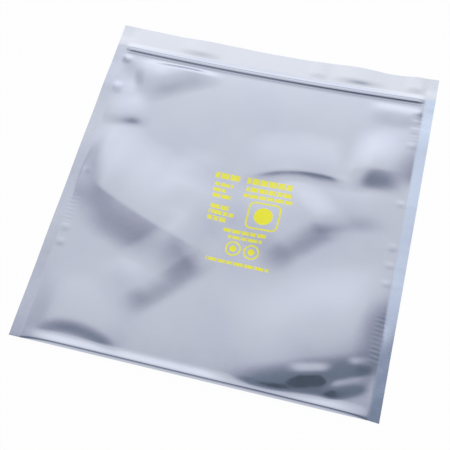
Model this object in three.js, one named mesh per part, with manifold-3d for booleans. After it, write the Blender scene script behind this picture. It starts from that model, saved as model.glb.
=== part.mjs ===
// A static shielding bag with a press-to-close zip, empty, pressed shut and lying on its back.
// It is one web of metallised film, folded across the bottom and welded down both sides, with the
// two halves of the zip welded inside it a little below the mouth.
// Millimetres, +Z up, +X across the bag, +Y towards the mouth. The origin is on the table, under
// the middle of the bag.
import * as THREE from "three";
import { mergeVertices } from "three/addons/utils/BufferGeometryUtils.js";
import Module from "manifold-3d";

const wasm = await Module();
wasm.setup();

// The film and how it is cut.
const filmThickness = 0.08;
const insideWidth = 305;
const sealWidth = 9.5;
const pouchDepth = 317; // bottom fold to the zip's centre line
const lipLength = 27; // zip's centre line to the mouth
const mouthBow = 4; // the air in the pouch draws the middle of the mouth down by this much

// The zip: two tapes, one with a groove and one with a ridge that snaps into it.
const tapeWidth = 13;
const tapeThickness = 0.2;
const weldGap = 0.03; // between a tape and the film that it is welded to
const slotClearance = 0.3; // beside a tape, in the film's side welds
const legHeight = 1.2;
const legThickness = 0.5;
const grooveWidth = 1.4;
const hookReach = 0.25;
const hookHeight = 0.35;
const stemWidth = 0.6;
const headWidth = 1.15;
const headTipWidth = 0.4;
const zipPlay = 0.1; // between the two halves wherever they face each other
const crestHalfWidth = 1.7; // the film lies level over the snapped profile this far each way
const shoulderHalfWidth = 3.2; // and has dropped most of the way by here
const shoulderGap = 1.05;
const tapeEdgeGap = 0.75; // between the two walls at the tapes' edges
const crushLength = 8; // the profile is crushed flat over this length before each side weld

// How the air and the folds leave the front wall standing.
const crownHeight = 1.7; // the inside of the front wall over the middle of the bag
const foldHeight = 4.2; // the same, where the springy bottom fold begins to lift it
const beadRise = 2.2; // how much more the bottom fold lifts it
const beadLength = 11; // over this length
const foldTipHeight = 2.2; // the middle of the bottom fold's nose
const frontNoseLength = 3;
const backNoseLength = 4;
const crownReach = 100; // from the fold's own height to the crown's
const zipReach = 40; // from the zip's height to the crown's
const sideReach = 40; // from a side weld to full height, in the front wall
const backReach = 28; // from a side weld down to the table, in the back wall
const lipReach = 15; // from a side weld to the full opening of the lip
const settleLength = 45; // the walls change from their shape at the zip to the pouch's over this
const sealRise = 1.5; // the side welds' height above the table, away from the zip
const sealRipple = 0.35;
const sealRippleLength = 88;
const swellLength = 7; // the lip's swells rise from the zip over this length

// Where the front lip swells, how much, and how far each way from there.
const lipSwells = [
  { at: -76, height: 1, reach: 26 },
  { at: 46, height: 0.6, reach: 12 },
  { at: 86, height: 1.3, reach: 30 },
  { at: 143, height: 0.8, reach: 14 },
];

// The folds that stay in the film: a crest (or a dent, if negative) from one point to another, with
// its width to the right and to the left of the way it is walked. It fades in and out over its ends,
// bends to the left, and its right side falls off sharply (1) or in a round (0).
const folds = [
  { from: [-128, 90], to: [-40, 122], height: -1.3, right: 60, left: 14, ends: [30, 30], bend: 4 },
  { from: [-168, 0], to: [-16, -58], height: 5.4, right: 42, left: 70, ends: [30, 36], sharp: 0.3 },
  { from: [-80, -122], to: [-16, -42], height: 3.2, right: 25, left: 24, ends: [36, 36] },
  { from: [-160, -160], to: [-56, -163], height: 1.9, right: 17, left: 56, ends: [26, 26], bend: 17 },
  { from: [14, -162], to: [200, -92], height: 5, right: 40, left: 84, ends: [56, 56] },
  { from: [50, -94], to: [200, -84], height: 2, right: 60, left: 56, ends: [44, 44] },
  { from: [-10, 20], to: [100, 41], height: 1.9, right: 15, left: 46, ends: [44, 22], bend: 13, sharp: 0.8 },
  { from: [40, -54], to: [94, 20], height: 2.6, right: 27, left: 38, ends: [24, 24], bend: 4 },
  { from: [70, 8], to: [158, 24], height: 1.7, right: 24, left: 36, ends: [34, 34] },
  { from: [90, 56], to: [184, 52], height: 3, right: 22, left: 46, ends: [26, 26], bend: 8 },
  { from: [-170, 62], to: [-100, 72], height: 2.2, right: 14, left: 30, ends: [24, 24] },
  { from: [-44, 50], to: [-52, -24], height: 1.2, right: 26, left: 34, ends: [30, 30] },
];
const leastGap = 0.2; // the walls rest on each other no closer than this between the welds

// How finely the film is divided.
const middleCells = 20; // across the level middle of the bag
const pouchCells = 25; // along the pouch
const beadCells = 3; // along the bottom fold's rise
const lipCells = 3;
const overshoot = 5; // cutting bodies pass the film's edges by this much
const nearlyNothing = 1e-6; // for comparing lengths

// What follows from the sizes above.
const bagWidth = insideWidth + 2 * sealWidth;
const bagLength = pouchDepth + lipLength;
const foldY = -bagLength / 2;
const mouthY = bagLength / 2;
const zipY = foldY + pouchDepth;
const zoneHalf = tapeWidth / 2 + slotClearance;
const crushedGap = 2 * tapeThickness + 3 * weldGap;
const closedGap = 2 * (tapeThickness + weldGap) + legHeight + zipPlay;

const clamp01 = (t) => Math.min(Math.max(t, 0), 1);
const smooth = (t) => clamp01(t) ** 2 * (3 - 2 * clamp01(t));
const bump = (t) => (1 - clamp01(Math.abs(t)) ** 2) ** 2;
const rise = (t) => 1 - (1 - clamp01(t)) ** 2;
const quarterRound = (t) => Math.sqrt(rise(t));
const mix = (a, b, t) => a + (b - a) * t;

// Height of one fold's crest above the smooth wall, at a point of the bag.
function foldRise({ from, to, height, right, left, ends, bend = 0, sharp = 0 }, x, y) {
  const along = new THREE.Vector2(to[0] - from[0], to[1] - from[1]);
  const length = along.length();
  const here = new THREE.Vector2(x - from[0], y - from[1]);
  along.normalize();
  const walked = here.dot(along);
  const share = clamp01(walked / length);
  const toLeft = along.cross(here) - bend * 4 * share * (1 - share);
  const off = clamp01(toLeft > 0 ? toLeft / left : -toLeft / right);
  const section = mix(bump(off), (1 - off) ** 2, toLeft > 0 ? 0 : sharp);
  return height * section * smooth(walked / ends[0]) * smooth((length - walked) / ends[1]);
}

// How far the two walls stand apart at a distance from the zip's centre line, within the tapes.
function zipGap(fromZip) {
  const knots = [
    [crestHalfWidth, closedGap],
    [shoulderHalfWidth, shoulderGap],
    [zoneHalf, tapeEdgeGap],
  ];
  if (fromZip <= knots[0][0]) return knots[0][1];
  const next = knots.findIndex(([at]) => fromZip <= at);
  if (next < 0) return tapeEdgeGap;
  const [[a, gapA], [b, gapB]] = [knots[next - 1], knots[next]];
  return mix(gapA, gapB, (fromZip - a) / (b - a));
}

// 0 at the tapes' edge on the mouth's side, and 1 at the mouth.
const upLip = (y) => smooth((y - zipY - zoneHalf) / (lipLength - zoneHalf));

// A length that is short beside the zip and grows to its own value in the pouch and in the lip.
function reachAt(y, pouchReach) {
  const belowZip = (zipY - zoneHalf - y) / settleLength;
  return belowZip > 0
    ? mix(crushLength, pouchReach, smooth(belowZip))
    : mix(crushLength, lipReach, upLip(y));
}

// Half the distance between the walls inside a side weld: only the crushed tapes part them.
function weldHalfGap(y) {
  const beyondTape = Math.abs(y - zipY) - zoneHalf;
  return mix(crushedGap / 2, 0, smooth(beyondTape / crushLength));
}

// Height of a side weld's middle above the table.
function weldMiddle(y) {
  const level = filmThickness + crushedGap / 2;
  const ripple = sealRipple * Math.sin((2 * Math.PI * y) / sealRippleLength);
  return mix(level, sealRise + ripple, smooth((Math.abs(y - zipY) - zoneHalf) / settleLength));
}

// The inside heights of the back and the front wall, at a point of the bag.
function walls(x, y) {
  const fromWeld = Math.max(insideWidth / 2 - Math.abs(x), 0);
  const frontShare = rise(fromWeld / reachAt(y, sideReach));
  const backShare = rise(fromWeld / reachAt(y, backReach));
  const fromZip = zipY - y;
  const fromFold = y - foldY;
  const middle = weldMiddle(y);
  const half = weldHalfGap(y);

  const level = filmThickness + tapeEdgeGap;
  let crown;
  if (Math.abs(fromZip) <= zoneHalf) {
    crown = filmThickness + zipGap(Math.abs(fromZip));
  } else if (fromZip > 0) {
    const settled = mix(foldHeight, crownHeight, smooth((fromFold - beadLength) / crownReach));
    const full = settled + beadRise * (1 - smooth(fromFold / beadLength));
    crown = mix(level, full, rise((fromZip - zoneHalf) / zipReach));
  } else {
    const swell = lipSwells.reduce((sum, lip) => sum + lip.height * bump((x - lip.at) / lip.reach), 0);
    crown = level + swell * smooth((-fromZip - zoneHalf) / swellLength);
  }

  const inPouch = smooth((fromZip - zoneHalf) / zoneHalf);
  const offBead = smooth(fromFold / beadLength);
  const creased = folds.reduce((sum, fold) => sum + foldRise(fold, x, y), 0) * inPouch * offBead;
  let back = mix(middle - half, filmThickness, backShare);
  let front = mix(middle + half, crown + creased, frontShare);
  front = Math.max(front, back + leastGap * frontShare);

  // The walls run together in the bottom fold's rounded nose.
  const tip = mix(middle, foldTipHeight, frontShare);
  back = mix(tip, back, quarterRound(fromFold / backNoseLength));
  front = mix(tip, front, quarterRound(fromFold / frontNoseLength));
  return { back, front };
}

// How far a point is drawn towards the bottom fold: not at all there or at the side welds.
function drawnDown(x, y) {
  const across = 1 - (x / (bagWidth / 2)) ** 2;
  return mouthBow * across * smooth((y - foldY) / pouchDepth);
}

// Evenly spaced stations after the first, up to the last.
function stations(first, last, cells) {
  return Array.from({ length: cells }, (_, k) => mix(first, last, (k + 1) / cells));
}

// Stations across the bag, from one side edge to the other.
function acrossStations() {
  const weld = insideWidth / 2;
  const level = weld - sideReach * 0.6;
  const rightOfMiddle = [
    ...stations(0, level, middleCells / 2),
    ...stations(level, weld - crushLength, 3),
    weld - crushLength / 2,
    weld,
    bagWidth / 2,
  ];
  const leftOfMiddle = rightOfMiddle.map((x) => -x).reverse();
  return [...leftOfMiddle, 0, ...rightOfMiddle];
}

// Stations along the bag, from the bottom fold to the mouth.
function alongStations() {
  const nose = [0, 0.04, 0.13, 0.3, 0.55, 1].map((share) => foldY + share * frontNoseLength);
  const zip = [-zoneHalf, -tapeWidth / 2, -shoulderHalfWidth, -crestHalfWidth];
  const zone = [...zip, ...zip.map((y) => -y).reverse()].map((y) => zipY + y);
  const bead = stations(nose.at(-1), foldY + beadLength, beadCells);
  return [
    ...nose,
    ...bead,
    ...stations(bead.at(-1), zone[0], pouchCells).slice(0, -1),
    ...zone,
    ...stations(zone.at(-1), mouthY, lipCells),
  ];
}

// A box blank divided at the stations, with each of its corners moved to its place. upper is true
// on the blank's top face.
function formed(xs, ys, place) {
  const blank = new THREE.BoxGeometry(1, 1, 1, xs.length - 1, ys.length - 1, 1);
  const corners = blank.getAttribute("position");
  for (let k = 0; k < corners.count; k++) {
    const x = xs[Math.round((corners.getX(k) + 0.5) * (xs.length - 1))];
    const y = ys[Math.round((corners.getY(k) + 0.5) * (ys.length - 1))];
    corners.setXYZ(k, ...place(x, y, corners.getZ(k) > 0));
  }
  return blank;
}

function solidOf(geometry) {
  const bare = new THREE.BufferGeometry();
  bare.setAttribute("position", geometry.getAttribute("position"));
  bare.setIndex(geometry.getIndex());
  const merged = mergeVertices(bare, 1e-5);
  return new wasm.Manifold(
    new wasm.Mesh({
      numProp: 3,
      vertProperties: merged.getAttribute("position").array,
      triVerts: new Uint32Array(merged.getIndex().array),
    }),
  );
}

function geometryOf(solid) {
  const mesh = solid.getMesh();
  const geometry = new THREE.BufferGeometry();
  geometry.setAttribute("position", new THREE.BufferAttribute(mesh.vertProperties, 3));
  geometry.setIndex(new THREE.BufferAttribute(mesh.triVerts, 1));
  const flat = geometry.toNonIndexed();
  flat.computeVertexNormals();
  return flat;
}

// The folded and welded film: its outside, less the pouch and less the slot that the tapes fill.
function filmGeometry() {
  const xs = acrossStations();
  const ys = alongStations();
  const outside = formed(xs, ys, (x, y, upper) => {
    const { back, front } = walls(x, y);
    const z = upper ? front + filmThickness : back - filmThickness;
    return [x, y - drawnDown(x, y), z];
  });

  const insideXs = xs.filter((x) => Math.abs(x) <= insideWidth / 2);
  const insideYs = [...ys, mouthY + overshoot];
  const pinch = filmThickness / 4; // the pouch's edge along the welds is this thin
  const pouch = formed(insideXs, insideYs, (x, y, upper) => {
    const at = Math.min(y, mouthY);
    const { back, front } = walls(x, at);
    const half = Math.max(front - back, pinch) / 2;
    const middle = (front + back) / 2;
    const inset = filmThickness * (1 - smooth((y - foldY) / frontNoseLength));
    return [x, y + inset - drawnDown(x, at), upper ? middle + half : middle - half];
  });

  const slotXs = xs.map((x) => (Math.abs(x) < bagWidth / 2 ? x : x + Math.sign(x) * overshoot));
  const slotYs = ys.filter((y) => Math.abs(y - zipY) <= zoneHalf + nearlyNothing);
  const slot = formed(slotXs, slotYs, (x, y, upper) => {
    const { back, front } = walls(x, y);
    return [x, y - drawnDown(x, y), upper ? front : back];
  });
  return geometryOf(solidOf(outside).subtract(solidOf(pouch)).subtract(solidOf(slot)));
}

// One zip tape, welded to the front or to the back wall, out to the bag's side edges.
function tapeSolid(onFront) {
  const xs = acrossStations();
  const ys = alongStations().filter((y) => Math.abs(y - zipY) <= tapeWidth / 2 + nearlyNothing);
  return solidOf(
    formed(xs, ys, (x, y, upper) => {
      const { back, front } = walls(x, y);
      const outer = onFront ? front - weldGap : back + weldGap;
      const inward = onFront ? -tapeThickness : tapeThickness;
      const isOuter = upper === onFront;
      return [x, y - drawnDown(x, y), isOuter ? outer : outer + inward];
    }),
  );
}

// A zip section, drawn in the plane across the zip, run along it between the crushed ends.
function runAlongZip(outline) {
  const uncrushed = insideWidth / 2 - crushLength;
  const xs = acrossStations().filter((x) => Math.abs(x) <= uncrushed + nearlyNothing);
  const run = new THREE.ExtrudeGeometry(outline, {
    depth: 1,
    steps: xs.length - 1,
    bevelEnabled: false,
  });
  const corners = run.getAttribute("position");
  for (let k = 0; k < corners.count; k++) {
    const x = xs[Math.round(corners.getZ(k) * (xs.length - 1))];
    const y = zipY + corners.getX(k) - drawnDown(x, zipY);
    corners.setXYZ(k, x, y, corners.getY(k));
  }
  return solidOf(run);
}

// Heights of the snapped zip's levels above the table.
const ridgeTapeTop = filmThickness + weldGap + tapeThickness;
const legTip = ridgeTapeTop + zipPlay;
const hookTop = legTip + hookHeight;
const ceiling = legTip + legHeight;
const bite = tapeThickness / 2; // a leg or a stem is rooted this deep in its tape

function outlineOf(points) {
  return new THREE.Shape(points.map(([y, z]) => new THREE.Vector2(y, z)));
}

function grooveStripGeometry() {
  const inner = grooveWidth / 2;
  const outer = inner + legThickness;
  const leg = outlineOf([
    [outer, ceiling + bite],
    [inner, ceiling + bite],
    [inner, hookTop],
    [inner - hookReach, hookTop],
    [inner, legTip],
    [outer, legTip],
  ]);
  const otherLeg = outlineOf(leg.getPoints().map(({ x, y }) => [-x, y]).reverse());
  return geometryOf(tapeSolid(true).add(runAlongZip(leg)).add(runAlongZip(otherLeg)));
}

function ridgeStripGeometry() {
  const headBottom = hookTop + zipPlay;
  const headTop = ceiling - zipPlay;
  const rightSide = [
    [stemWidth / 2, ridgeTapeTop - bite],
    [stemWidth / 2, headBottom],
    [headWidth / 2, headBottom],
    [headTipWidth / 2, headTop],
  ];
  const leftSide = rightSide.map(([y, z]) => [-y, z]).reverse();
  const ridge = outlineOf([...rightSide, ...leftSide]);
  return geometryOf(tapeSolid(false).add(runAlongZip(ridge)));
}

function piece(name, geometry, finish) {
  const mesh = new THREE.Mesh(geometry, new THREE.MeshStandardMaterial(finish));
  mesh.name = name;
  return mesh;
}

const silverFilm = { color: 0xbfc5d6, roughness: 0.22, metalness: 0.8 };
const milkyPlastic = { color: 0xe4e7ec, roughness: 0.4, metalness: 0 };

const bag = new THREE.Group();
bag.add(
  piece("film_pouch", filmGeometry(), silverFilm),
  piece("zip_groove_strip", grooveStripGeometry(), milkyPlastic),
  piece("zip_ridge_strip", ridgeStripGeometry(), milkyPlastic),
);

export default bag;
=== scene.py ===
import math

import bmesh
import bpy
import numpy as np
from mathutils import Matrix, Vector


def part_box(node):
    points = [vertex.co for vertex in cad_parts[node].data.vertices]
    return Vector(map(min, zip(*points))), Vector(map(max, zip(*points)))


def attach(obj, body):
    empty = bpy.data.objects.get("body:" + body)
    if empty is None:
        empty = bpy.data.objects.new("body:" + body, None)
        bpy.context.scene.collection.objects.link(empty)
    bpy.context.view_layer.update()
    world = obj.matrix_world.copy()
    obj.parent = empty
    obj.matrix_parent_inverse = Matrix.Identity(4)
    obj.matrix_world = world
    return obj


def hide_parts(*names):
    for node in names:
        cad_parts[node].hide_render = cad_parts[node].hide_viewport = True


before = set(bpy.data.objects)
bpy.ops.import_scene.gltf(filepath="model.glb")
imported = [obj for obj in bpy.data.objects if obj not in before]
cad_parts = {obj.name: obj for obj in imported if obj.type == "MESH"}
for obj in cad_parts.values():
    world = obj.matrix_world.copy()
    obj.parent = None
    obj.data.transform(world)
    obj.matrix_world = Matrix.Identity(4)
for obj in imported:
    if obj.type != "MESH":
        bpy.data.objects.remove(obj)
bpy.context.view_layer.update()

bl_info = {
    "name": "Static shielding bag",
    "version": (1, 0, 0),
    "blender": (4, 5, 0),
    "location": "View3D > Sidebar > Shielding bag",
    "description": "Builds an empty static shielding bag with a press-to-close zip, and its stage",
    "category": "Object",
}

# Lengths are worked out in millimetres and made metres where a mesh, a lamp or a camera takes them.
MM = 0.001

FILM_NODE = "film_pouch"
ZIP_NODES = ("zip_groove_strip", "zip_ridge_strip")
FILM_LOW, FILM_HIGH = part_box(FILM_NODE)

# The film, as it is cut and welded.
BAG_WIDTH = (FILM_HIGH.x - FILM_LOW.x) / MM
BAG_LENGTH = (FILM_HIGH.y - FILM_LOW.y) / MM
SEAL_WIDTH = 9.5
LIP_LENGTH = 27.0
MOUTH_BOW = 4.0
INSIDE_HALF = BAG_WIDTH / 2 - SEAL_WIDTH
FOLD_Y = -BAG_LENGTH / 2
MOUTH_Y = BAG_LENGTH / 2
ZIP_Y = MOUTH_Y - LIP_LENGTH
POUCH_DEPTH = ZIP_Y - FOLD_Y

# The film over the zip: half widths from the zip's middle line, and the walls' distance there.
TAPE_HALF = 6.5
ZONE_HALF = 6.8
CREST_HALF = 1.7
SHOULDER_HALF = 3.2
CLOSED_GAP = 1.76
SHOULDER_GAP = 1.05
EDGE_GAP = 0.75
CRUSHED_GAP = 0.49
CRUSH_LENGTH = 8.0

# How the air leaves the walls standing.
CROWN_HEIGHT = 1.7
FOLD_HEIGHT = 4.2
BEAD_RISE = 2.2
BEAD_LENGTH = 11.0
TIP_HEIGHT = 2.2
FRONT_NOSE = 3.0
BACK_NOSE = 4.0
CROWN_REACH = 100.0
ZIP_REACH = 40.0
SIDE_REACH = 40.0
BACK_REACH = 28.0
LIP_REACH = 15.0
SETTLE_LENGTH = 45.0
SEAL_RISE = 1.5
SEAL_RIPPLE = 0.35
SEAL_RIPPLE_LENGTH = 88.0
CURL_Y = -84.0
CURL_FADE = 34.0
CURL_RISE = 1.6
CURL_DROP = 2.6
LIP_RISE_LENGTH = 7.0
LEAST_GAP = 0.2
BEAD_MARGIN = 2.0

# The skin is a little thinner than the film, to stay clear of the zip.
SKIN_SHARE = 0.94

# The back wall's level part, whose grid is joined up.
LEVEL_HALF = 120.0
LEVEL_TOLERANCE = 1e-7
LEVEL_ANGLE = 0.0005

# Where the front lip swells: place along the mouth, height, and reach each way.
LIP_SWELLS = ((-76, 1.0, 26), (46, 0.6, 12), (86, 1.3, 30), (143, 0.8, 14))

# Where the mouth's edge stands out (or in, if negative): place, how much, and reach each way.
MOUTH_WAVES = ((-50, 0.9, 40), (72, 1.1, 34), (120, -0.8, 24))


def fold(start, end, height, right, left, fade, fade_out=None, bend=0.0, sharp=0.0):
    """A crest in the film from start to end, with its widths to the right and left of the walk."""
    return {
        "start": start,
        "end": end,
        "height": height,
        "right": right,
        "left": left,
        "fade": fade,
        "fade_out": fade if fade_out is None else fade_out,
        "bend": bend,
        "sharp": sharp,
    }


# The folds that stay in the front wall.
FOLDS = (
    fold((-134, 101), (-50, 150), 3.6, 27, 30, 36, fade_out=34, bend=2),
    fold((-178, 106), (-122, 112), -1.6, 18, 22, 16),
    fold((-172, 4), (-10, -60), 6.0, 42, 76, 26, fade_out=44, bend=-4, sharp=0.5),
    fold((-184, 4), (-104, -24), 1.0, 24, 90, 30, sharp=0.8),
    fold((-88, -126), (-8, -40), 2.9, 27, 40, 36, bend=-2, sharp=0.2),
    fold((-160, -160), (-56, -163), 1.6, 17, 46, 26, bend=17),
    fold((8, -162), (206, -94), 4.9, 40, 84, 70),
    fold((50, -94), (200, -84), 2.5, 60, 56, 44),
    fold((-10, 20), (100, 41), 2.0, 13, 46, 44, fade_out=20, bend=13, sharp=1.0),
    fold((32, -58), (98, 12), 3.5, 30, 70, 34, fade_out=30, bend=9, sharp=0.2),
    fold((56, 0), (160, 20), 1.8, 24, 40, 50, bend=4),
    fold((88, 54), (196, 50), 5.4, 26, 50, 28, bend=9, sharp=0.3),
    fold((-170, 62), (-100, 72), 2.4, 13, 30, 24),
    fold((-44, 50), (-52, -24), 1.2, 26, 34, 30),
)

# Small waves that the large folds carry.
WAVES = (
    fold((78, -152), (122, -141), 1.0, 10, 10, 16),
    fold((108, -160), (154, -140), 1.0, 8, 9, 16),
    fold((126, -134), (156, -124), 0.9, 8, 8, 12),
    fold((96, 128), (176, 124), 1.3, 16, 12, 24),
    fold((-6, 26), (4, -26), 0.25, 9, 7, 12),
)

# Small puckers beside the welds: side, place along the weld, height, and half length.
PUCKERS = (
    (-1, 134, 1.5, 9),
    (-1, 97, 1.0, 8),
    (-1, -1, 0.4, 5),
    (-1, -62, 0.4, 5),
    (-1, -77, 0.4, 5),
    (1, 130, 0.4, 4),
    (1, 119, 0.4, 4),
    (1, 110, 0.4, 5),
    (1, 92, 0.4, 4),
    (1, 29, 0.4, 4),
    (1, -15, 0.4, 5),
    (1, -33, 0.4, 4),
    (1, -51, 0.4, 4),
)
PUCKER_REACH = 12.0
PUCKER_PEAK = 0.45


def clamp01(t):
    return np.clip(t, 0.0, 1.0)


def smooth(t):
    return clamp01(t) ** 2 * (3.0 - 2.0 * clamp01(t))


def bump(t):
    return (1.0 - clamp01(np.abs(t)) ** 2) ** 2


def rise(t):
    return 1.0 - (1.0 - clamp01(t)) ** 2


def quarter_round(t):
    return np.sqrt(rise(t))


def mix(a, b, t):
    return a + (b - a) * t


def fold_rise(crest, x, y):
    """Height of one fold above the smooth wall."""
    start = np.array(crest["start"], float)
    along = np.array(crest["end"], float) - start
    length = np.hypot(*along)
    along /= length
    walked = (x - start[0]) * along[0] + (y - start[1]) * along[1]
    share = clamp01(walked / length)
    bent = crest["bend"] * 4.0 * share * (1.0 - share)
    left = along[0] * (y - start[1]) - along[1] * (x - start[0]) - bent
    off = clamp01(np.where(left > 0, left / crest["left"], -left / crest["right"]))
    sharp = crest["sharp"] * (left <= 0)
    section = mix((1.0 - off**2) ** 2, (1.0 - off) ** 2, sharp)
    ends = smooth(walked / crest["fade"]) * smooth((length - walked) / crest["fade_out"])
    return crest["height"] * section * ends


def pucker_rise(x, y, from_weld):
    """Height of the small puckers that the welds draw into the wall."""
    inward = bump((from_weld / PUCKER_REACH - PUCKER_PEAK) / (1.0 - PUCKER_PEAK))
    total = 0.0
    for side, at, height, half in PUCKERS:
        total = total + height * bump((y - at) / half) * (x * side > 0)
    return total * inward


def zip_gap(from_zip):
    """How far the walls stand apart over the zip's tapes."""
    places = (0.0, CREST_HALF, SHOULDER_HALF, ZONE_HALF)
    return np.interp(from_zip, places, (CLOSED_GAP, CLOSED_GAP, SHOULDER_GAP, EDGE_GAP))


def up_lip(y):
    return smooth((y - ZIP_Y - ZONE_HALF) / (LIP_LENGTH - ZONE_HALF))


def reach_at(y, pouch_reach):
    """A length that is short beside the zip and grows to its own value away from it."""
    below_zip = (ZIP_Y - ZONE_HALF - y) / SETTLE_LENGTH
    in_pouch = mix(CRUSH_LENGTH, pouch_reach, smooth(below_zip))
    in_lip = mix(CRUSH_LENGTH, LIP_REACH, up_lip(y))
    return np.where(below_zip > 0, in_pouch, in_lip)


def weld_middle(x, y, film):
    """Height of the side welds' middle above the table."""
    level = film + CRUSHED_GAP / 2
    ripple = SEAL_RIPPLE * np.sin(2 * math.pi * y / SEAL_RIPPLE_LENGTH)
    away = smooth((np.abs(y - ZIP_Y) - ZONE_HALF) / SETTLE_LENGTH)
    out = clamp01((np.abs(x) - INSIDE_HALF) / SEAL_WIDTH)
    curl = smooth((CURL_Y - y) / CURL_FADE) * (x > 0)
    return mix(level, SEAL_RISE + ripple, away) + curl * (CURL_RISE - CURL_DROP * out)


def walls(x, y, film):
    """The inside heights of the back and the front wall over the plan."""
    from_weld = np.maximum(INSIDE_HALF - np.abs(x), 0.0)
    front_share = rise(from_weld / reach_at(y, SIDE_REACH))
    back_share = rise(from_weld / reach_at(y, BACK_REACH))
    from_zip = ZIP_Y - y
    from_fold = y - FOLD_Y
    middle = weld_middle(x, y, film)
    half = mix(CRUSHED_GAP / 2, 0.0, smooth((np.abs(from_zip) - ZONE_HALF) / CRUSH_LENGTH))

    full = mix(FOLD_HEIGHT, CROWN_HEIGHT, smooth((from_fold - BEAD_LENGTH) / CROWN_REACH))
    full = full + BEAD_RISE * (1.0 - smooth(from_fold / BEAD_LENGTH))
    pouch = mix(film + EDGE_GAP, full, rise((from_zip - ZONE_HALF) / ZIP_REACH))
    swell = sum(height * bump((x - at) / reach) for at, height, reach in LIP_SWELLS)
    lip = film + EDGE_GAP + swell * smooth((-from_zip - ZONE_HALF) / LIP_RISE_LENGTH)
    over_zip = film + zip_gap(np.abs(from_zip))
    crown = np.where(np.abs(from_zip) <= ZONE_HALF, over_zip, np.where(from_zip > 0, pouch, lip))

    in_pouch = smooth((from_zip - ZONE_HALF) / ZONE_HALF)
    off_bead = smooth((from_fold - BEAD_MARGIN) / (BEAD_LENGTH - BEAD_MARGIN))
    creased = sum(fold_rise(crest, x, y) for crest in FOLDS + WAVES) * in_pouch * off_bead
    back = mix(middle - half, film, back_share)
    front = mix(middle + half, crown + creased, front_share)
    front = front + pucker_rise(x, y, from_weld) * in_pouch
    front = np.maximum(front, back + LEAST_GAP * front_share)

    tip = mix(middle, TIP_HEIGHT, front_share)
    back = mix(tip, back, quarter_round(from_fold / BACK_NOSE))
    front = mix(tip, front, quarter_round(from_fold / FRONT_NOSE))
    return back, front


def drawn_down(x, y):
    """How far the film is drawn towards the bottom fold."""
    across = 1.0 - (x / (BAG_WIDTH / 2)) ** 2
    waves = sum(rise * bump((x - at) / reach) for at, rise, reach in MOUTH_WAVES)
    return MOUTH_BOW * across * smooth((y - FOLD_Y) / POUCH_DEPTH) - waves * up_lip(y)


class Term:
    """A shader socket that takes part in sums written as plain expressions."""

    def __init__(self, recipe, socket):
        self.recipe = recipe
        self.socket = socket

    def maths(self, operation, *others, first=None):
        values = [self if first is None else first, *others]
        if first is not None:
            values.append(self)
        sockets = dict(enumerate(values))
        return self.recipe.node("ShaderNodeMath", {"operation": operation}, sockets)

    def __add__(self, other):
        return self.maths("ADD", other)

    __radd__ = __add__

    def __mul__(self, other):
        return self.maths("MULTIPLY", other)

    __rmul__ = __mul__

    def __sub__(self, other):
        return self.maths("SUBTRACT", other)

    def __rsub__(self, other):
        return self.maths("SUBTRACT", first=other)

    def __truediv__(self, other):
        return self.maths("DIVIDE", other)

    def __abs__(self):
        return self.maths("ABSOLUTE")

    def __pow__(self, other):
        return self.maths("POWER", other)

    def least(self, other):
        return self.maths("MINIMUM", other)

    def most(self, other):
        return self.maths("MAXIMUM", other)

    def ramp(self, low, high):
        """0 at low and 1 at high, smoothly."""
        settings = {"interpolation_type": "SMOOTHSTEP"}
        sockets = {"Value": self, "From Min": low, "From Max": high}
        return self.recipe.node("ShaderNodeMapRange", settings, sockets)


class Recipe:
    """Makes the nodes of one material or surround."""

    def __init__(self, holder):
        self.holder = holder
        holder.use_nodes = True
        self.tree = holder.node_tree
        self.tree.nodes.clear()

    def node(self, kind, settings=None, sockets=None, output=0):
        """Adds a node, with its settings first and then its sockets, and gives back an output."""
        made = self.tree.nodes.new(kind)
        for key, value in (settings or {}).items():
            if key == "stops":
                self.fill_ramp(made.color_ramp, value)
            else:
                setattr(made, key, value)
        for key, value in (sockets or {}).items():
            if isinstance(value, Term):
                self.tree.links.new(value.socket, made.inputs[key])
            else:
                made.inputs[key].default_value = value
        return Term(self, made.outputs[output]) if made.outputs else made

    def fill_ramp(self, ramp, stops):
        while len(ramp.elements) < len(stops):
            ramp.elements.new(1.0)
        for element, (place, colour) in zip(ramp.elements, stops):
            element.position = place
            element.color = colour

    def blend(self, factor, first, second):
        """A colour between two colours."""
        settings = {"data_type": "RGBA"}
        sockets = {0: factor, 6: first, 7: second}
        return self.node("ShaderNodeMix", settings, sockets, output=2)

    def noise(self, place, scale, detail, roughness=0.5):
        sockets = {"Vector": place, "Scale": scale, "Detail": detail, "Roughness": roughness}
        return self.node("ShaderNodeTexNoise", {}, sockets)

    def place(self):
        """Object coordinates in millimetres, whole and as x and y."""
        coordinates = self.node("ShaderNodeTexCoord", output="Object")
        whole = self.node("ShaderNodeMapping", {}, {"Vector": coordinates, "Scale": (1 / MM,) * 3})
        split = self.node("ShaderNodeSeparateXYZ", {}, {"Vector": whole}, output="X")
        return whole, split, Term(self, split.socket.node.outputs["Y"])

    def relief(self, height):
        """A normal from heights in millimetres."""
        sockets = {"Height": height, "Distance": MM, "Strength": 1.0}
        return self.node("ShaderNodeBump", {}, sockets)

    def surface(self, shader):
        self.node("ShaderNodeOutputMaterial", {}, {"Surface": shader})
        return self.holder


def opaque(colour):
    return (*colour, 1.0)


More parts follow.
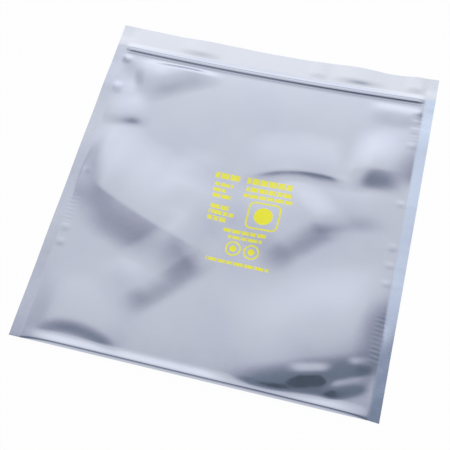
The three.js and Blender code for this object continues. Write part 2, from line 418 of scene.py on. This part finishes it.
# The print's rows: left end, right end, top and bottom, as they lie on the film.
PRINT_ROWS = (
    (-25.5, -1.0, 24.5, 18.5),
    (-24.0, -6.0, 14.0, 10.4),
    (-24.0, -12.5, 8.0, 4.2),
    (-23.5, -5.0, 2.0, -2.0),
    (-23.0, -5.0, -9.0, -13.5),
    (-22.5, 1.0, -15.0, -19.0),
    (-22.0, -5.0, -21.0, -25.5),
    (5.0, 49.0, 25.0, 18.6),
    (6.0, 49.0, 15.5, 10.6),
    (5.0, 51.0, 8.0, 4.2),
    (-4.5, 35.0, -30.0, -33.6),
    (1.0, 32.5, -36.0, -39.2),
    (-13.0, 44.5, -61.0, -64.2),
)
ROW_SHIFT = 7.3
WORD_PITCH = 8.5
STROKE_PITCH = 1.35
STROKE_DEPTH = 0.28
FRAME_CENTRE = (28.0, -12.5)
FRAME_HALF_X = 14.5
FRAME_HALF_Y = 13.05
FRAME_CORNER = 5.0
FRAME_LINE = 1.5
DISC_RADIUS = 8.6
RING_CENTRES = ((8.5, -48.6), (25.2, -48.6))
RING_RADIUS = 6.4
RING_LINE = 1.4
DOT_RADIUS = 3.0
PRINT_EDGE = 0.2
# A glow painted into the print: the ink gives off its own colour as light, at this share.
PAINTED_PRINT_GLOW = 0.13


def printed(recipe, whole, x, y):
    """Where the generic print lies: rows of dashes, a framed disc and two rings."""
    mask = 0.0
    shift = 0.0
    for number, (left, right, top, bottom) in enumerate(PRINT_ROWS):
        across = (right - left) / 2 - abs(x - (right + left) / 2)
        along = (top - bottom) / 2 - abs(y - (top + bottom) / 2)
        row = across.least(along).ramp(-0.1, PRINT_EDGE)
        mask = row + mask
        shift = row * (number * ROW_SHIFT) + shift
    words = recipe.node(
        "ShaderNodeTexVoronoi",
        {"voronoi_dimensions": "1D", "feature": "DISTANCE_TO_EDGE"},
        {"W": (x + shift) / WORD_PITCH, "Scale": 1.0, "Randomness": 0.8},
    )
    strokes = recipe.node(
        "ShaderNodeTexNoise",
        {"noise_dimensions": "1D"},
        {"W": (x + shift) / STROKE_PITCH, "Scale": 1.0, "Detail": 0.0},
    )
    faint = STROKE_DEPTH * strokes.ramp(0.35, 0.6)
    mask = mask * words.ramp(0.05, 0.1) * (1.0 - STROKE_DEPTH + faint)
    dx = (abs(x - FRAME_CENTRE[0]) - (FRAME_HALF_X - FRAME_CORNER)).most(0.0)
    dy = (abs(y - FRAME_CENTRE[1]) - (FRAME_HALF_Y - FRAME_CORNER)).most(0.0)
    edge = abs((dx * dx + dy * dy) ** 0.5 - FRAME_CORNER)
    mask = mask.most(within(edge, FRAME_LINE / 2))
    mask = mask.most(within(away(x, y, FRAME_CENTRE), DISC_RADIUS))
    for centre in RING_CENTRES:
        distance = away(x, y, centre)
        mask = mask.most(within(abs(distance - RING_RADIUS), RING_LINE / 2))
        mask = mask.most(within(distance, DOT_RADIUS))
    return mask


def away(x, y, centre):
    """Distance from a point of the plan."""
    dx = x - centre[0]
    dy = y - centre[1]
    return (dx * dx + dy * dy) ** 0.5


def within(distance, limit):
    """1 where the distance is under the limit, and 0 beyond it, with a narrow soft edge."""
    return 1.0 - distance.ramp(limit - PRINT_EDGE, limit + PRINT_EDGE)


def near(term, middle, low, high):
    """1 near a value and 0 from it by more than high."""
    return 1.0 - abs(term - middle).ramp(low, high)


# The fine puckers beside the welds: middle line, half width and depth.
COMB_MIDDLE = INSIDE_HALF - 4.0
COMB_HALF = 7.0
COMB_DEPTH = 0.07

# The stretches of the welds that have them: side, place along the weld, and where they fade.
COMB_STRETCHES = (
    (-1, -42.0, 10.0, 22.0, 1.0),
    (1, -102.0, 14.0, 28.0, 1.0),
    (1, 112.0, 10.0, 26.0, 0.7),
)

# Painted shade lines in the grooves beside the zip: place beside its middle line, and strength.
UPPER_SHADE_LINE = 1.3
LOWER_SHADE_LINE = -5.2
LOWER_SHADE_STRENGTH = 0.5

CRINKLE_DEPTH = 0.03
KNURL_DEPTH = 0.02


def film_material(name, finish, has_print):
    """Metallised film, with or without the print; painted light makes the lip paler and the right weld
    bluer, paints shade lines beside the zip, and makes the print glow.
    """
    recipe = Recipe(bpy.data.materials.new(name))
    whole, x, y = recipe.place()
    drift = recipe.noise(whole, 0.016, 3.0)
    cloud = recipe.noise(whole, 0.07, 4.0, 0.6)
    in_weld = abs(x).ramp(INSIDE_HALF - 0.6, INSIDE_HALF + 0.4)
    cool = recipe.blend(drift.ramp(0.3, 0.7), opaque(finish.film_colour), opaque(finish.film_tint))
    # Painted reflection: the right weld is painted bluer, standing in for the bluish light it mirrors.
    right_weld_reflection_mask = in_weld * x.ramp(-1.0, 1.0)
    colour = recipe.blend(right_weld_reflection_mask * 0.55, cool, opaque(finish.right_weld_painted_reflection))
    # Painted light: the lip beyond the zip is painted paler, standing in for the brighter light it
    # catches.
    lip_light_mask = y.ramp(ZIP_Y + 1.0, ZIP_Y + 5.0)
    colour = recipe.blend(lip_light_mask * 0.8, colour, opaque(finish.lip_painted_light))
    # Painted shade: darker lines in the grooves beside the zip, a full one above its middle line and a
    # half-strength one below.
    from_zip = y + (1.0 - (x / (BAG_WIDTH / 2)) ** 2.0) * MOUTH_BOW - ZIP_Y
    upper = near(from_zip, UPPER_SHADE_LINE, 0.2, 0.6)
    lower = near(from_zip, LOWER_SHADE_LINE, 0.2, 0.7) * LOWER_SHADE_STRENGTH
    painted_groove_shade = upper.most(lower) * near(x, 0.0, INSIDE_HALF - 4.0, INSIDE_HALF - 2.0)
    colour = recipe.blend(painted_groove_shade, colour, opaque(finish.zip_tone_and_painted_shade))
    roughness = finish.film_roughness + 0.08 * cloud.ramp(0.35, 0.7) + 0.1 * in_weld
    metallic = finish.film_metal
    if has_print:
        ink = printed(recipe, whole, x, y)
        colour = recipe.blend(ink, colour, opaque(finish.ink_colour))
        roughness = roughness + ink * 0.2
        metallic = finish.film_metal * (1.0 - ink)
        # Painted light: the print glows with its own colour though it is no lamp.
        painted_print_glow = recipe.blend(ink * PAINTED_PRINT_GLOW, opaque((0.0, 0.0, 0.0)), opaque(finish.ink_colour))

    crinkle = recipe.noise(whole, 0.22, 3.0, 0.55)
    knurl = recipe.node(
        "ShaderNodeTexWave",
        {"bands_direction": "Y", "wave_profile": "SIN"},
        {"Vector": whole, "Scale": 0.22, "Distortion": 0.6},
    )
    comb = recipe.node(
        "ShaderNodeTexWave",
        {"bands_direction": "Y", "wave_profile": "SIN"},
        {"Vector": whole, "Scale": 0.075, "Distortion": 1.5, "Detail": 1.0, "Detail Scale": 0.6},
    )
    stretch = 0.0
    for side, middle, low, high, share in COMB_STRETCHES:
        stretch = near(y, middle, low, high) * (x * side).ramp(-1.0, 1.0) * share + stretch
    combed = comb * near(abs(x), COMB_MIDDLE, 1.0, COMB_HALF) * stretch
    relief = crinkle * CRINKLE_DEPTH + knurl * in_weld * KNURL_DEPTH + combed * COMB_DEPTH
    normal = recipe.relief(relief)
    sockets = {"Base Color": colour, "Roughness": roughness, "Metallic": metallic, "Normal": normal}
    if has_print:
        sockets.update({"Emission Color": painted_print_glow, "Emission Strength": 1.0})
    return recipe.surface(recipe.node("ShaderNodeBsdfPrincipled", {}, sockets))


def zip_material(name, finish):
    """Milky plastic of the zip's strips."""
    recipe = Recipe(bpy.data.materials.new(name))
    whole = recipe.place()[0]
    drift = recipe.noise(whole, 0.05, 3.0)
    grain = recipe.noise(whole, 2.0, 1.0)
    colour = recipe.blend(drift.ramp(0.3, 0.7), opaque(finish.zip_colour), opaque(finish.zip_tone_and_painted_shade))
    roughness = 0.34 + 0.12 * drift
    normal = recipe.relief(grain * 0.01)
    sockets = {"Base Color": colour, "Roughness": roughness, "Normal": normal}
    return recipe.surface(recipe.node("ShaderNodeBsdfPrincipled", {}, sockets))


def even(first, last, cells):
    """Evenly spaced stations after the first, up to the last."""
    return [first + (last - first) * (k + 1) / cells for k in range(cells)]


def across_stations():
    beside = INSIDE_HALF - 34.5
    right = even(0.0, beside, 50) + even(beside, INSIDE_HALF, 20)
    right = right + even(INSIDE_HALF, BAG_WIDTH / 2, 5)
    return [-x for x in reversed(right)] + [0.0] + right


def along_stations():
    nose = [FRONT_NOSE * (k / 8) ** 2 for k in range(9)]
    bead = even(FRONT_NOSE, BEAD_LENGTH + BEAD_MARGIN, 8)
    pouch = even(BEAD_LENGTH + BEAD_MARGIN, POUCH_DEPTH - ZONE_HALF, 172)
    marks = (TAPE_HALF, 5.0, SHOULDER_HALF, 2.4, CREST_HALF)
    zone = [-at for at in marks] + [0.0] + [at for at in reversed(marks)] + [ZONE_HALF]
    lip = even(POUCH_DEPTH + ZONE_HALF, BAG_LENGTH, 12)
    return [FOLD_Y + at for at in nose + bead + pouch + [POUCH_DEPTH + at for at in zone] + lip]


def film_piece(sizes):
    """One web of film, folded at the bottom, its outside laid over the walls' heights."""
    film = sizes.film / MM
    xs = np.array(across_stations())
    ys = np.array(along_stations())
    web = np.concatenate((ys[::-1], ys[1:]))
    last_x = len(xs) - 1
    last_web = len(web) - 1
    bm = bmesh.new()
    bmesh.ops.create_grid(bm, x_segments=last_x, y_segments=last_web, size=1.0)
    corners = np.array([vert.co[:2] for vert in bm.verts])
    across = np.rint((corners[:, 0] + 1.0) / 2.0 * last_x).astype(int)
    along = np.rint((corners[:, 1] + 1.0) / 2.0 * last_web).astype(int)
    x = xs[across]
    y = web[along]
    is_front = along < len(ys)
    back, front = walls(x, y, film)
    skin = film * quarter_round((y - FOLD_Y) / FRONT_NOSE)
    z = np.where(is_front, front + skin, back - skin)
    places = np.stack((x, y - drawn_down(x, y), z), axis=1) * MM
    for vert, co in zip(bm.verts, places):
        vert.co = co
    for edge in bm.edges:
        edge.smooth = not edge.is_boundary
    for face in bm.faces:
        face.smooth = True
        face.material_index = 0 if all(is_front[vert.index] for vert in face.verts) else 1
    level = [
        vert
        for vert in bm.verts
        if not is_front[vert.index]
        and abs(vert.co.z) < LEVEL_TOLERANCE
        and abs(vert.co.x) < LEVEL_HALF * MM
    ]
    inner = set(level)
    edges = [edge for edge in bm.edges if edge.verts[0] in inner and edge.verts[1] in inner]
    bmesh.ops.dissolve_limit(bm, angle_limit=LEVEL_ANGLE, verts=level, edges=edges)
    bmesh.ops.recalc_face_normals(bm, faces=bm.faces)
    if max(bm.faces, key=lambda face: face.calc_center_median().z).normal.z < 0:
        bmesh.ops.reverse_faces(bm, faces=bm.faces)
    mesh = bpy.data.meshes.new("film_pouch_skin")
    bm.to_mesh(mesh)
    bm.free()
    piece = bpy.data.objects.new("film_pouch_skin", mesh)
    bpy.context.scene.collection.objects.link(piece)
    gauge = piece.modifiers.new("film gauge", "SOLIDIFY")
    gauge.thickness = film * SKIN_SHARE * MM
    gauge.offset = -1.0
    gauge.material_offset = 1
    return piece


class BagSizes(bpy.types.PropertyGroup):
    """Sizes that can be set without changing the frame."""

    film: bpy.props.FloatProperty(
        name="Film thickness",
        description="Gauge of the film",
        default=0.08 * MM,
        precision=5,
        unit="LENGTH",
    )


class BagFinish(bpy.types.PropertyGroup):
    """Colours and gloss of the bag, and colours of the light and shade painted on it."""

    film_colour: bpy.props.FloatVectorProperty(
        name="Film",
        description="Main colour of the film",
        subtype="COLOR",
        default=(0.545, 0.575, 0.665),
    )
    film_tint: bpy.props.FloatVectorProperty(
        name="Film tint",
        description="Second colour of the film",
        subtype="COLOR",
        default=(0.515, 0.55, 0.655),
    )
    # A bluish reflection painted on the right weld only.
    right_weld_painted_reflection: bpy.props.FloatVectorProperty(
        name="Right weld",
        description="Colour of the right weld",
        subtype="COLOR",
        default=(0.58, 0.69, 0.88),
    )
    # A paler colour painted on the lip, standing in for the brighter light there.
    lip_painted_light: bpy.props.FloatVectorProperty(
        name="Lip",
        description="Colour of the film beyond the zip",
        subtype="COLOR",
        default=(0.69, 0.72, 0.79),
    )
    film_roughness: bpy.props.FloatProperty(
        name="Film roughness",
        description="Roughness of the film",
        default=0.1,
        min=0.0,
        max=1.0,
        subtype="FACTOR",
    )
    film_metal: bpy.props.FloatProperty(
        name="Film metal",
        description="How metallic the film is",
        default=0.9,
        min=0.0,
        max=1.0,
        subtype="FACTOR",
    )
    ink_colour: bpy.props.FloatVectorProperty(
        name="Print",
        description="Colour of the print",
        subtype="COLOR",
        default=(1.0, 0.95, 0.03),
    )
    zip_colour: bpy.props.FloatVectorProperty(
        name="Zip",
        description="Colour of the zip",
        subtype="COLOR",
        default=(0.78, 0.80, 0.84),
    )
    # The zip plastic mixes this tone in at random; the film uses the same colour for the shade painted
    # beside the zip.
    zip_tone_and_painted_shade: bpy.props.FloatVectorProperty(
        name="Zip shade",
        description="Shade of the zip through the film",
        subtype="COLOR",
        default=(0.30, 0.33, 0.42),
    )


class StudioSettings(bpy.types.PropertyGroup):
    """The stage and its light."""

    main_light: bpy.props.FloatProperty(
        name="Surround",
        description="Brightness of the surround behind the bag",
        default=1.0,
        min=0.0,
    )
    floor_colour: bpy.props.FloatVectorProperty(
        name="Floor",
        description="Colour of the floor",
        subtype="COLOR",
        default=(0.92, 0.92, 0.92),
    )


class BAG_OT_film(bpy.types.Operator):
    """Builds the folded and welded film in place of its plain solid"""

    bl_idname = "bag.film"
    bl_label = "Film pouch"

    def execute(self, context):
        finish = context.scene.bag_finish
        piece = film_piece(context.scene.bag_sizes)
        printed_film = film_material("printed film", finish, True)
        bare_film = film_material("bare film", finish, False)
        for material in (printed_film, bare_film, bare_film):
            piece.data.materials.append(material)
        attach(piece, "root")
        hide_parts(FILM_NODE)
        return {"FINISHED"}


class BAG_OT_zip(bpy.types.Operator):
    """Gives the two zip strips their plastic"""

    bl_idname = "bag.zip"
    bl_label = "Zip strips"

    def execute(self, context):
        plastic = zip_material("milky plastic", context.scene.bag_finish)
        for name in ZIP_NODES:
            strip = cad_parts[name]
            for slot in strip.material_slots:
                slot.material = plastic
        return {"FINISHED"}


# The photograph's camera, in millimetres and as its three axes.
CAMERA_PLACE = (107.0, -328.3, 680.8)
CAMERA_LOOK = (-0.1482, 0.4006, -0.9042)
CAMERA_UP = (-0.2038, 0.8823, 0.4243)
CAMERA_LENS = 65.84
CAMERA_SENSOR = 36.0

# How far the floor is plain white to the camera; the rest takes the bag's shadow.
WHITE_SHARE = 0.97

# The direction of a small dark part of the surround, its share of the light, and the brightest part.
DARK_PLACE = (0.08, -0.3, 0.95)
DARK_SHARE = 0.34
BRIGHTEST = 1.4

# Colours of the surround from its darkest to its brightest parts.
SURROUND_TINTS = (
    (0.14, (0.60, 0.80, 1.00, 1.0)),
    (0.40, (0.88, 0.88, 1.00, 1.0)),
    (0.72, (1.00, 1.00, 1.00, 1.0)),
)


class BAG_OT_stage(bpy.types.Operator):
    """Lays the floor and sets the camera and the light"""

    bl_idname = "bag.stage"
    bl_label = "Stage"

    def execute(self, context):
        scene = context.scene
        settings = scene.bag_studio
        self.camera(scene)
        self.floor(scene, settings)
        self.surround(scene, settings)
        scene.view_settings.view_transform = "Standard"
        return {"FINISHED"}

    def camera(self, scene):
        data = bpy.data.cameras.new("camera")
        data.lens = CAMERA_LENS
        data.sensor_width = CAMERA_SENSOR
        camera = bpy.data.objects.new("camera", data)
        look = Vector(CAMERA_LOOK).normalized()
        up = Vector(CAMERA_UP).normalized()
        right = look.cross(up).normalized()
        axes = Matrix((right, right.cross(look), -look)).transposed().to_4x4()
        camera.matrix_world = Matrix.Translation(Vector(CAMERA_PLACE) * MM) @ axes
        scene.collection.objects.link(camera)
        scene.camera = camera

    def floor(self, scene, settings):
        bm = bmesh.new()
        bmesh.ops.create_grid(bm, x_segments=1, y_segments=1, size=6.0)
        bmesh.ops.translate(bm, verts=bm.verts, vec=(0.0, 0.0, -0.2 * MM))
        mesh = bpy.data.meshes.new("floor")
        bm.to_mesh(mesh)
        bm.free()
        floor = bpy.data.objects.new("floor", mesh)
        scene.collection.objects.link(floor)
        recipe = Recipe(bpy.data.materials.new("floor"))
        path = recipe.node("ShaderNodeLightPath", output="Is Camera Ray")
        outputs = path.socket.node.outputs
        glossy = Term(recipe, outputs["Is Glossy Ray"])
        through = Term(recipe, outputs["Is Transmission Ray"])
        plain = recipe.node("ShaderNodeBsdfDiffuse", {}, {"Color": opaque(settings.floor_colour)})
        white = recipe.node("ShaderNodeEmission", {}, {"Strength": 1.0})
        seen = path.most(glossy).most(through) * WHITE_SHARE
        shader = recipe.node("ShaderNodeMixShader", {}, {0: seen, 1: plain, 2: white})
        floor.data.materials.append(recipe.surface(shader))

    def surround(self, scene, settings):
        """A pale studio with a darker strip overhead, which the film mirrors in its folds."""
        world = bpy.data.worlds.new("studio")
        scene.world = world
        recipe = Recipe(world)
        direction = recipe.node("ShaderNodeTexCoord", output="Generated")
        split = recipe.node("ShaderNodeSeparateXYZ", {}, {"Vector": direction}, output="X")
        outputs = split.socket.node.outputs
        x = split
        y = Term(recipe, outputs["Y"])
        z = Term(recipe, outputs["Z"])
        behind = y * 0.98 - x * 0.2
        level = 0.33 + 0.5 * behind.ramp(-0.02, 0.28) + 0.16 * behind.ramp(0.16, 0.42)
        level = level + 0.5 * behind.ramp(0.4, 0.9) + 0.3 * (1.0 - behind.ramp(-0.75, -0.4))
        level = level * (1.0 - 0.45 * abs(x + 0.1).ramp(0.3, 0.7))
        level = level + 0.9 * x.ramp(0.6, 0.82) + 0.35 * (x * -1.0).ramp(0.6, 0.82)
        places = {0: direction, 1: DARK_PLACE}
        aside = recipe.node(
            "ShaderNodeVectorMath", {"operation": "DISTANCE"}, places, output="Value"
        )
        level = level * (DARK_SHARE + (1.0 - DARK_SHARE) * aside.ramp(0.18, 0.22))
        high = z.ramp(0.0, 0.3)
        level = level * high + 1.1 * (1.0 - high)
        tint = recipe.node("ShaderNodeValToRGB", {"stops": SURROUND_TINTS}, {"Fac": level / BRIGHTEST})
        background = recipe.node(
            "ShaderNodeBackground", {}, {"Color": tint, "Strength": level * settings.main_light}
        )
        white = {"Color": opaque((1.0, 1.0, 1.0)), "Strength": 1.0}
        plain = recipe.node("ShaderNodeBackground", {}, white)
        seen = recipe.node("ShaderNodeLightPath", output="Is Camera Ray")
        shader = recipe.node("ShaderNodeMixShader", {}, {0: seen, 1: background, 2: plain})
        recipe.node("ShaderNodeOutputWorld", {}, {"Surface": shader})


class BAG_PT_panel(bpy.types.Panel):
    """Lists the bag's steps"""

    bl_idname = "BAG_PT_panel"
    bl_label = "Shielding bag"
    bl_space_type = "VIEW_3D"
    bl_region_type = "UI"
    bl_category = "Shielding bag"

    def draw(self, context):
        for step in STEPS:
            self.layout.operator(step)
        self.layout.prop(context.scene.bag_sizes, "film")
        for name in BagFinish.__annotations__:
            self.layout.prop(context.scene.bag_finish, name)
        for name in StudioSettings.__annotations__:
            self.layout.prop(context.scene.bag_studio, name)


STEPS = ("bag.film", "bag.zip", "bag.stage")
CLASSES = (
    BagSizes,
    BagFinish,
    StudioSettings,
    BAG_OT_film,
    BAG_OT_zip,
    BAG_OT_stage,
    BAG_PT_panel,
)


def register():
    for cls in CLASSES:
        bpy.utils.register_class(cls)
    bpy.types.Scene.bag_sizes = bpy.props.PointerProperty(type=BagSizes)
    bpy.types.Scene.bag_finish = bpy.props.PointerProperty(type=BagFinish)
    bpy.types.Scene.bag_studio = bpy.props.PointerProperty(type=StudioSettings)


def unregister():
    del bpy.types.Scene.bag_studio
    del bpy.types.Scene.bag_finish
    del bpy.types.Scene.bag_sizes
    for cls in reversed(CLASSES):
        bpy.utils.unregister_class(cls)


def main():
    register()
    bpy.ops.bag.film()
    bpy.ops.bag.zip()
    bpy.ops.bag.stage()


if __name__ == "__main__":
    main()
